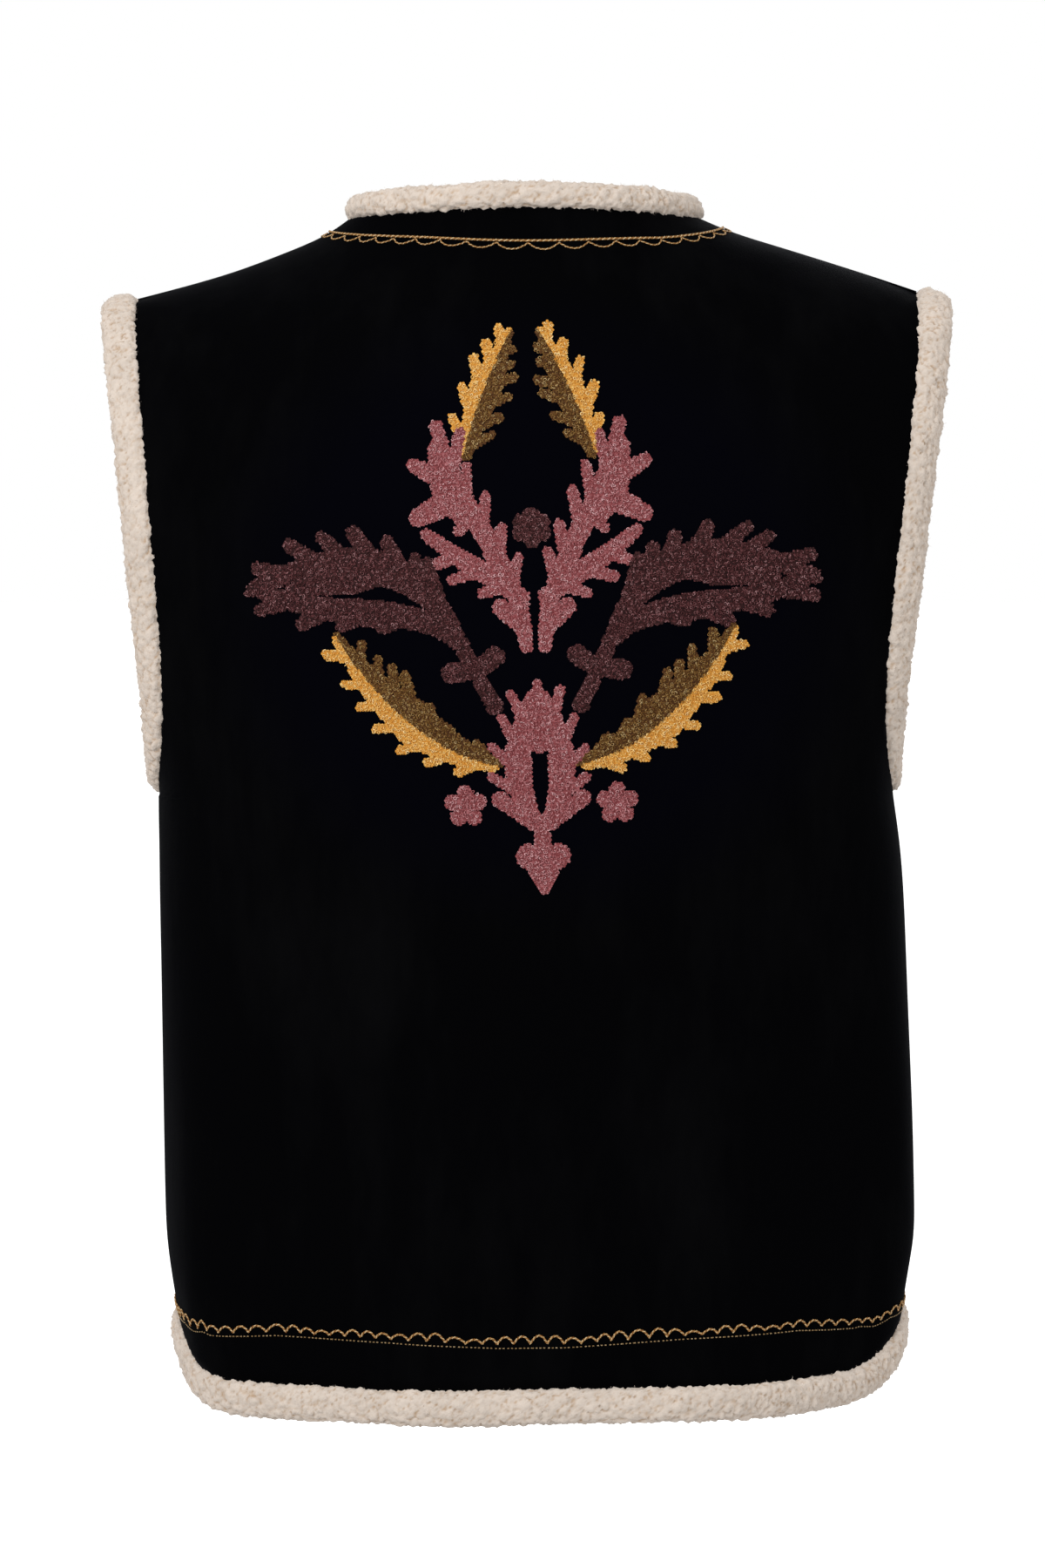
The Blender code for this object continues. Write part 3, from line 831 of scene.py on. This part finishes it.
class VEST_OT_stitching(Operator):
    """Make the gold lines and scallops inside the neck and hem edges"""

    bl_idname = "vest.stitching"
    bl_label = "Gold Stitching"

    def execute(self, context):
        settings = context.scene.vest_stitching
        cord = thread("Gold cord", settings.gold)
        fine = thread("Pale gold thread", settings.pale)
        tree = tree_of([bpy.data.objects[name] for name in PANELS.values()])
        everywhere = [point for points in CLOTH.values() for point in points]

        hem = [p for p in everywhere
               if p[2] < (HEM_PANELS_BELOW if abs(p[0]) > OPENING_WITHIN else HEM_CORNER_BELOW)]
        starts, along = edge_line(hem, HEM_PLACES)
        heading = np.repeat([[0.0, 0.0, 1.0]], len(starts), axis=0)
        # The line runs a little higher away from the middle, and comes down to the edge at the sides.
        side = np.abs(unit(starts * np.array([1.0, 1.6, 0.0]))[:, 0])
        share = np.interp(side, SIDE_STEPS, RISE_STEPS)
        rise = settings.side_rise + (settings.hem_rise - settings.side_rise) * share
        rise = wobble(rise, *HEM_UNEVEN)
        places, normals = walk(tree, starts, heading, rise)
        dashes = []
        share = along / (DASH + DASH_GAP)
        for number in range(int(share[-1])):
            inside = (share >= number) & (share <= number + DASH / (DASH + DASH_GAP))
            if inside.sum() >= 2:
                dashes.append(tube(places[inside], normals[inside], DASH_RADIUS, 4, DASH_LIFT, 0.5))
        dress(threads_piece("hem_stitch_line", dashes), "velvet", fine)
        places, normals = walk(tree, starts, heading, scalloped(rise, along, *HEM_SCALLOPS))
        waves = threads_piece("hem_scallops", twisted(places, normals, *HEM_SCALLOP_CORD))
        dress(waves, "velvet", cord)

        neck = [p for p in everywhere
                if math.hypot(p[0], p[1]) < NECK_WITHIN and p[2] > NECK_ABOVE and abs(p[0]) < NECK_SIDE]
        starts, along = edge_line(neck, NECK_PLACES)
        # The line is reached outwards from the neck's edge, and further from it at the back.
        away = unit(starts * np.array([1.0, 1.0, 0.0]) + np.array([0.0, 0.0, -0.02]))
        behind = np.clip(-starts[:, 1] / 0.05, 0, 1) * np.clip(1 - (starts[:, 0] / NECK_SIDE) ** 2, 0, 1)
        drop = wobble(settings.neck_drop + settings.neck_sag * behind, *NECK_UNEVEN)
        places, normals = walk(tree, starts, away, drop)
        dress(threads_piece("neck_cord", twisted(places, normals, *NECK_CORD)), "velvet", cord)
        places, normals = walk(tree, starts, away, scalloped(drop, along, *NECK_SCALLOPS))
        swags = threads_piece("neck_scallops", twisted(places, normals, *NECK_SCALLOP_CORD))
        dress(swags, "velvet", cord)
        return {"FINISHED"}


# Embroidery

# The design is laid out in mm: x from its middle towards the wearer's right, z from the shoulder
# line. Only its left half is given, and the right half is its mirror with small differences of hand.
DESIGN_MIDDLE = (0.6, -175.0)
DESIGN_LEAN = 0.012  # how much further the middle line leans, upwards to the wearer's left
DESIGN_DEPTH = -0.105  # depth of the upright plane that the design is laid out on, near the back
DESIGN_LOW, DESIGN_HIGH = (-156.0, -326.0), (156.0, -24.0)
ROW_GAP = 0.866  # distance between two rows of a staggered grid, as a share of its points' gap

# The loops: how far each strays, as a share of their spacing, how far it tips, its size and its lift.
LOOP_STRAY, LOOP_TIP = 0.3, 0.75
LOOP_NARROW = 0.78  # a loop's width, as a share of its length
LOOP_SIZES, LOOP_LIFTS = (0.82, 1.12), (0.35, 0.95)
# The loops' tones differ at random; the paler stand in for painted highlights and the darker for painted
# shade.
LOOP_TONE, LOOP_PALEST = (0.55, 0.2), 0.9  # mean and spread of the tones, and the highest
# The bed of flat stitches under the loops, painted darker as the shade between them. In mm: its grid, its
# stitches' radius and their lift.
BED_STEP, BED_RADIUS, BED_LIFTS = 1.3, 0.62 * 1.3, (0.12, 0.22)
BED_SHADE_TONE = (0.12, 0.2)
BED_SHADE_GAIN, BED_SHADE_POWER = 0.85, 1.12  # its colour, darker and richer than the loops', as painted shade


def curve_through(points, count=28):
    """A smooth rib: the curve that the given points pull, from foot to tip."""
    share = np.linspace(0, 1, count)[:, None]
    layers = [np.repeat(np.array([p], dtype=float), count, axis=0) for p in points]
    while len(layers) > 1:
        layers = [a * (1 - share) + b * share for a, b in zip(layers, layers[1:])]
    return layers[0]


def turned(vector, degrees):
    """A flat vector turned to its left."""
    c, s = math.cos(math.radians(degrees)), math.sin(math.radians(degrees))
    return np.array([vector[0] * c - vector[1] * s, vector[0] * s + vector[1] * c])


def blade(rib, left, right):
    """A strip along a rib: its half widths at foot, middle and tip on either side."""
    return ("blade", curve_through(rib), left, right)


def finger(foot, tip, wide, narrow):
    """One rounded lobe from foot to tip."""
    return ("finger", np.array(foot, dtype=float), np.array(tip, dtype=float), wide, narrow)


def fingers(rib, side, first, last, count, lengths, lean, wide, draw):
    """A row of lobes along a rib on one side, 1 for its left and -1 for its right."""
    line = curve_through(rib, 101)
    ways = np.gradient(line, axis=0)
    made = []
    for i in range(count):
        part = i / max(1, count - 1)
        share = first + (last - first) * part + draw.uniform(-0.012, 0.012)
        index = int(round(100 * min(max(share, 0), 1)))
        foot, way = line[index], ways[index] / np.linalg.norm(ways[index])
        long = np.interp(part, (0, 0.5, 1), lengths) * draw.uniform(0.9, 1.1)
        heading = turned(way, side * (lean + draw.uniform(-5, 5)))
        made.append(finger(foot, foot + heading * long, wide, wide * draw.uniform(0.62, 0.8)))
    return made


def flower(centre, petals, reach, petal, heart, start=90.0):
    """A small flower: a round heart and a ring of petals."""
    made = [finger(centre, centre, heart, heart)]
    for i in range(petals):
        way = turned((1.0, 0.0), start + 360 * i / petals)
        made.append(finger(centre, np.array(centre) + way * reach, petal * 0.8, petal))
    return made


def left_half(draw):
    """The motifs of the left half: thread for the rib's left, thread for its right, and shapes."""
    motifs = []
    # Top leaf, bright gold outside and olive inside.
    rib = [(-33.0, -93.5), (-23.5, -62.0), (-7.5, -34.0)]
    motifs.append(("gold", "olive", rib, [blade(rib, (3.0, 7.5, 2.6), (5.0, 9.5, 2.0))]
                   + fingers(rib, 1, 0.04, 0.90, 5, (15.0, 17.0, 9.0), 38, 3.4, draw)
                   + fingers(rib, -1, 0.02, 0.84, 6, (15.0, 18.5, 6.5), 48, 3.2, draw)))
    # Rose branch with a second arm on its outside.
    rib = [(-5.0, -193.0), (-4.5, -158.0), (-34.0, -133.0), (-46.5, -80.5)]
    arm = [(-6.0, -168.0), (-20.0, -156.0), (-36.0, -149.0), (-53.0, -135.5)]
    motifs.append(("rose", "rose", rib, [
        blade(rib, (3.4, 4.6, 3.2), (3.4, 6.0, 3.2)),
        blade(arm, (5.0, 6.0, 3.2), (4.0, 4.4, 3.2)),
        blade([(-34, -127), (-44, -114), (-47, -92)], (5, 8, 4), (6, 7.5, 4)),
        finger((-40, -118), (-57, -126.5), 6.6, 4.6),
        finger((-42, -109), (-58.5, -100.0), 5.6, 3.6),
        finger((-32, -128), (-37, -134), 3.6, 2.6),
        finger((-6, -184), (-17.0, -173), 4.0, 4.4)]
        + fingers(rib, -1, 0.30, 0.84, 5, (16.0, 20.5, 19.0), 34, 3.6, draw)
        + fingers(arm, 1, 0.18, 0.70, 3, (14.0, 16.0, 11.0), 52, 3.6, draw)))
    # Burgundy side leaf with a slit, on a stem with two cross lobes.
    upper = [(-40.0, -188.0), (-52.0, -158.0), (-86.0, -132.0), (-143.0, -160.0)]
    lower = [(-40.0, -190.0), (-58.0, -168.0), (-100.0, -180.0), (-139.0, -163.0)]
    stem = [(-22.0, -223.5), (-30.5, -207.0), (-38.0, -191.0)]
    motifs.append(("burgundy", "burgundy", upper, [
        blade(stem, (4.2, 3.6, 4.0), (4.2, 3.6, 4.0)),
        blade(upper, (3.4, 9.0, 5.0), (4.0, 9.0, 2.6)),
        blade([(-66, -158), (-90, -153), (-118, -158)], (1.0, 9.0, 8.0), (2, 4, 4)),
        blade(lower, (4.0, 7.0, 2.6), (4.0, 7.0, 5.0)),
        finger((-31, -205), (-21.0, -198.0), 4.2, 5.0),
        finger((-31, -205), (-43.5, -206.0), 4.2, 5.0),
        finger((-47, -178), (-53.5, -150), 5.0, 3.2)]
        + fingers(upper, -1, 0.30, 0.90, 6, (17.0, 21.0, 13.0), 38, 4.6, draw)
        + fingers(lower, 1, 0.34, 0.90, 4, (13.0, 16.0, 13.0), 34, 4.8, draw)))
    # Lower leaf, bright gold below and olive above.
    rib = [(-23.5, -253.5), (-67.0, -243.0), (-101.0, -187.0)]
    motifs.append(("gold", "olive", rib, [blade(rib, (3.0, 10.0, 2.4), (5.0, 13.5, 3.0))]
                   + fingers(rib, 1, 0.08, 0.90, 7, (12.0, 18.5, 12.0), 46, 3.2, draw)
                   + fingers(rib, -1, 0.02, 0.86, 7, (14.0, 27.0, 14.0), 42, 3.3, draw)))
    # Half of the bottom leaf, with its gap inside.
    rib = [(0.0, -287.0), (-15.0, -268.0), (-14.5, -238.0), (-1.0, -216.0)]
    motifs.append(("rose", "rose", rib, [
        blade(rib, (3.2, 7.0, 2.4), (3.2, 7.0, 2.4)),
        finger((-4, -284), (-21, -271.0), 3.4, 4.0)]
        + fingers(rib, 1, 0.26, 0.80, 4, (19.0, 18.5, 13.5), 40, 3.3, draw)))
    # Small flower beside it.
    motifs.append(("rose", "rose", None, flower((-38.6, -274.0), 5, 6.6, 4.1, 5.4)))
    return motifs


def middle_motifs():
    """The motifs on the design's middle line."""
    return [
        ("rose", "rose", None, [
            finger((0, -240), (0, -212.0), 7.6, 2.0),
            finger((0, -284), (0, -300), 3.6, 4.5),
            finger((-2, -303), (-7.4, -300.5), 6.0, 6.4),
            finger((2, -303), (7.4, -300.5), 6.0, 6.4),
            finger((0, -304), (0, -318.0), 10.0, 2.2)]),
        ("burgundy", "burgundy", None, flower((0.0, -132.9), 6, 5.8, 4.3, 6.0, 90.0)),
    ]


def mirrored(motifs):
    """The right half: each motif turned over, with its rib's sides changed round."""
    flip = np.array([-1.0, 1.0])
    made = []
    for left, right, rib, shapes in motifs:
        turned_over = []
        for shape in shapes:
            if shape[0] == "blade":
                turned_over.append(("blade", shape[1] * flip, shape[3], shape[2]))
            else:
                turned_over.append(("finger", shape[1] * flip, shape[2] * flip, shape[3], shape[4]))
        rib = None if rib is None else [(-x, z) for x, z in rib]
        made.append((right, left, rib, turned_over))
    return made


def beside(points, line):
    """How far each point is from a line, where along it, and on which side: 1 is its left."""
    starts, ways = line[:-1], np.diff(line, axis=0)
    offset = points[:, None] - starts[None]
    share = np.clip((offset * ways).sum(axis=2) / np.maximum((ways * ways).sum(axis=1), 1e-12), 0, 1)
    gap = offset - share[..., None] * ways
    away = np.linalg.norm(gap, axis=2)
    nearest = away.argmin(axis=1)
    row = np.arange(len(points))
    part = (nearest + share[row, nearest]) / len(ways)
    cross = ways[nearest, 0] * offset[row, nearest, 1] - ways[nearest, 1] * offset[row, nearest, 0]
    return away[row, nearest], part, np.where(cross >= 0, 1, -1)


def stitched(points, motifs):
    """The thread of each point of the design, or an empty name where the velvet is bare."""
    names = np.full(len(points), "", dtype="<U10")
    for left, right, rib, shapes in motifs:
        inside = np.zeros(len(points), dtype=bool)
        for shape in shapes:
            if shape[0] == "blade":
                away, part, side = beside(points, shape[1])
                halves = [np.interp(part, (0, 0.5, 1), widths) for widths in shape[2:]]
                inside |= away < np.where(side > 0, halves[0], halves[1])
            else:
                foot, tip, wide, narrow = shape[1:]
                share, away = from_segment(points, foot, tip)
                inside |= away < wide + (narrow - wide) * share
        if rib is None:
            side = np.ones(len(points))
        else:
            side = beside(points, curve_through(rib))[2]
        names[inside] = np.where(side > 0, left, right)[inside]
    return names


def hex_grid(low, high, gap):
    """Points in even staggered rows."""
    rows = int((high[1] - low[1]) / (gap * ROW_GAP)) + 1
    columns = int((high[0] - low[0]) / gap) + 1
    i, j = np.meshgrid(np.arange(columns), np.arange(rows))
    across, up = low[0] + gap * (i + 0.5 * (j % 2)), low[1] + gap * ROW_GAP * j
    return np.stack([across.ravel(), up.ravel()], axis=1)


def to_cloth(tree, design, tilt):
    """Where design points in mm fall on the back, seen from the camera, with their normals."""
    eye = bpy.context.scene.camera.location
    c, s = math.cos(tilt), math.sin(tilt)
    places, normals = [], []
    for x, z in design:
        dz = z - DESIGN_MIDDLE[1]
        aim = Vector(((DESIGN_MIDDLE[0] + x * c - dz * (s + DESIGN_LEAN)) * MM, DESIGN_DEPTH,
                      (DESIGN_MIDDLE[1] + x * s + dz * c) * MM))
        place, normal, _, _ = tree.ray_cast(eye, (aim - eye).normalized())
        if place is None:
            raise RuntimeError("a stitch of the embroidery misses the back")
        places.append(tuple(place))
        normals.append(tuple(normal))
    return np.array(places), np.array(normals)


def loop_shape(settings):
    """One loop of thread, from a torus that is a little narrower than it is long."""
    select_none()
    half = settings.thread / 2
    bpy.ops.mesh.primitive_torus_add(major_segments=6, minor_segments=3,
                                     major_radius=settings.loop / 2 - half, minor_radius=half)
    torus = bpy.context.object
    points = points_of(torus) * np.array([1.0, LOOP_NARROW, 1.0])
    faces = [tuple(face.vertices) for face in torus.data.polygons]
    bpy.data.objects.remove(torus)
    return points, faces


def sew_loops(name, tree, chosen, shape, faces, settings, draw):
    """The loops of one thread, each tipped its own way."""
    places, normals = to_cloth(tree, chosen, settings.tilt)
    count = len(places)
    up = unit(normals + LOOP_TIP * draw.normal(size=(count, 3)))
    side = unit(np.cross(up, draw.normal(size=(count, 3))))
    size = draw.uniform(*LOOP_SIZES, count)[:, None, None]
    axes = np.stack([side, np.cross(up, side), up], axis=2) * size
    lift = draw.uniform(*LOOP_LIFTS, count)[:, None] * MM
    piece = from_copies("embroidery_" + name, shape, faces, axes, places + normals * lift)
    tone = np.clip(draw.normal(*LOOP_TONE, count), 0, LOOP_PALEST)
    store(piece, "tone", np.repeat(tone, len(shape)))
    dress(piece, "velvet", thread(name.title() + " viscose thread", getattr(settings, name)))


def sew_bed(name, tree, chosen, settings, draw):
    """The flat stitches under the loops of one thread, each a small six-sided face on the cloth, darker as
    painted shade between the loops.
    """
    places, normals = to_cloth(tree, chosen, settings.tilt)
    count = len(places)
    flat = np.array([(math.cos(a), math.sin(a), 0) for a in np.arange(6) * math.pi / 3])
    flat *= BED_RADIUS * MM
    side = unit(np.cross(normals, (0.0, 0.0, 1.0)))
    axes = np.stack([side, np.cross(normals, side), normals], axis=2)
    lift = draw.uniform(*BED_LIFTS, count)[:, None] * MM
    piece = from_copies("stitch_bed_" + name, flat, [tuple(range(6))], axes, places + normals * lift)
    store(piece, "tone", np.repeat(np.clip(draw.normal(*BED_SHADE_TONE, count), 0, 1), 6))
    shade = [BED_SHADE_GAIN * part**BED_SHADE_POWER for part in getattr(settings, name)]
    dress(piece, "velvet", thread(name.title() + " stitch bed", shade, roughness=0.85))


class VEST_OT_embroidery(Operator):
    """Make the embroidered leaves and flowers on the back"""

    bl_idname = "vest.embroidery"
    bl_label = "Embroidery"

    def execute(self, context):
        settings = context.scene.vest_embroidery
        tree = tree_of([bpy.data.objects[PANELS["back"]]])
        motifs = (left_half(np.random.default_rng(21)) + mirrored(left_half(np.random.default_rng(22)))
                  + middle_motifs())
        draw = np.random.default_rng(23)
        shape, faces = loop_shape(settings)
        gap = settings.spacing / MM
        loops = hex_grid(DESIGN_LOW, DESIGN_HIGH, gap)
        loops += draw.uniform(-LOOP_STRAY, LOOP_STRAY, loops.shape) * gap
        threads = stitched(loops, motifs)
        ground = hex_grid(DESIGN_LOW, DESIGN_HIGH, BED_STEP)
        ground_threads = stitched(ground, motifs)
        for name in ("gold", "olive", "rose", "burgundy"):
            sew_loops(name, tree, loops[threads == name], shape, faces, settings, draw)
            sew_bed(name, tree, ground[ground_threads == name], settings, draw)
        return {"FINISHED"}


# Stage

CAMERA_SIDE = -0.0055  # the camera stands this far to the wearer's left of the vest's middle
FLOOR_RADIUS = 14.0
LIT_PLACE = (0.0, 0.0, -0.3)  # the middle of the vest, which all the soft boxes face
# Name, place, width and power of each soft box.
SOFT_BOXES = (
    ("Key soft box", (-1.7, -2.2, 1.0), 1.1, 46.0),
    ("Fill soft box", (2.2, -2.0, 0.2), 1.6, 15.0),
    ("Top soft box", (0.0, -0.3, 2.0), 1.4, 6.0),
    ("Front soft box", (0.8, 2.4, 0.8), 1.4, 20.0),
)


class VEST_OT_stage(Operator):
    """Make the camera, the floor and the soft studio light"""

    bl_idname = "vest.stage"
    bl_label = "Camera, Floor and Light"

    def execute(self, context):
        settings = context.scene.vest_stage
        camera = bpy.data.cameras.new("Camera")
        camera.sensor_fit = "VERTICAL"
        camera.sensor_height = 36.0
        camera.lens = settings.lens
        view = bpy.data.objects.new("Camera", camera)
        view.location = (CAMERA_SIDE, -settings.distance, 0.0)
        view.rotation_euler = (math.pi / 2 - settings.pitch, 0.0, 0.0)
        context.scene.collection.objects.link(view)
        context.scene.camera = view

        select_none()
        bpy.ops.mesh.primitive_circle_add(vertices=64, radius=FLOOR_RADIUS, fill_type="NGON",
                                          location=(0.0, 0.0, settings.floor))
        floor = context.object
        floor.name = "studio_floor"
        # White studio paper: matt, with grain of about 170 mm that is too faint to show. It is lit so
        # strongly that it prints as plain white.
        material, tree, shader = new_material("Studio paper")
        grains = add(tree, "ShaderNodeTexNoise", {"Scale": grain(167)})
        soft = add(tree, "ShaderNodeMix", {"A": rgba(settings.paper), "B": rgba(settings.paper, 0.98)},
                   {"Factor": grains.outputs["Fac"]}, data_type="RGBA")
        fit(tree, shader,
            {"Roughness": 0.95, "Specular IOR Level": 0.0, "Emission Color": (1.0, 1.0, 1.0, 1.0),
             "Emission Strength": 0.7},
            {"Base Color": soft.outputs["Result"]})
        floor.data.materials.append(material)
        floor.visible_diffuse = False
        floor.visible_glossy = False

        world = bpy.data.worlds.new("Studio")
        world.use_nodes = True
        # The backdrop prints white, and the room around the camera gives a weaker soft light.
        tree = world.node_tree
        seen = add(tree, "ShaderNodeLightPath")
        strength = add(tree, "ShaderNodeMapRange", {"To Min": settings.room, "To Max": 1.0},
                       {"Value": seen.outputs["Is Camera Ray"]})
        fit(tree, tree.nodes["Background"], {"Color": (1.0, 1.0, 1.0, 1.0)},
            {"Strength": strength.outputs["Result"]})
        context.scene.world = world
        context.scene.view_settings.view_transform = "Standard"
        for name, place, width, power in SOFT_BOXES:
            lamp = bpy.data.lights.new(name, "AREA")
            lamp.size = width
            lamp.energy = power
            box = bpy.data.objects.new(name, lamp)
            box.location = place
            aim = Vector(LIT_PLACE) - Vector(place)
            box.rotation_euler = aim.to_track_quat("-Z", "Y").to_euler()
            context.scene.collection.objects.link(box)
        return {"FINISHED"}


class VEST_PT_panel(Panel):
    """The vest's pieces and their sizes and colours"""

    bl_idname = "VEST_PT_panel"
    bl_label = "Vest"
    bl_space_type = "VIEW_3D"
    bl_region_type = "UI"
    bl_category = "Vest"

    def draw(self, context):
        for operator, settings in STEPS:
            box = self.layout.box()
            box.operator(operator.bl_idname)
            group = getattr(context.scene, settings)
            for name in group.__annotations__:
                box.prop(group, name)


SETTINGS = {
    "vest_stage": VestStageSettings,
    "vest_velvet": VestVelvetSettings,
    "vest_sherpa": VestSherpaSettings,
    "vest_stitching": VestStitchingSettings,
    "vest_embroidery": VestEmbroiderySettings,
}
STEPS = (
    (VEST_OT_stage, "vest_stage"),
    (VEST_OT_velvet, "vest_velvet"),
    (VEST_OT_edging, "vest_sherpa"),
    (VEST_OT_stitching, "vest_stitching"),
    (VEST_OT_embroidery, "vest_embroidery"),
)


def register():
    for group in SETTINGS.values():
        bpy.utils.register_class(group)
    for operator, _ in STEPS:
        bpy.utils.register_class(operator)
    bpy.utils.register_class(VEST_PT_panel)
    for name, group in SETTINGS.items():
        setattr(bpy.types.Scene, name, PointerProperty(type=group))


def unregister():
    for name in SETTINGS:
        delattr(bpy.types.Scene, name)
    bpy.utils.unregister_class(VEST_PT_panel)
    for operator, _ in STEPS:
        bpy.utils.unregister_class(operator)
    for group in SETTINGS.values():
        bpy.utils.unregister_class(group)


def main():
    register()
    bpy.ops.vest.stage()
    bpy.ops.vest.velvet()
    bpy.ops.vest.edging()
    bpy.ops.vest.stitching()
    bpy.ops.vest.embroidery()


if __name__ == "__main__":
    main()
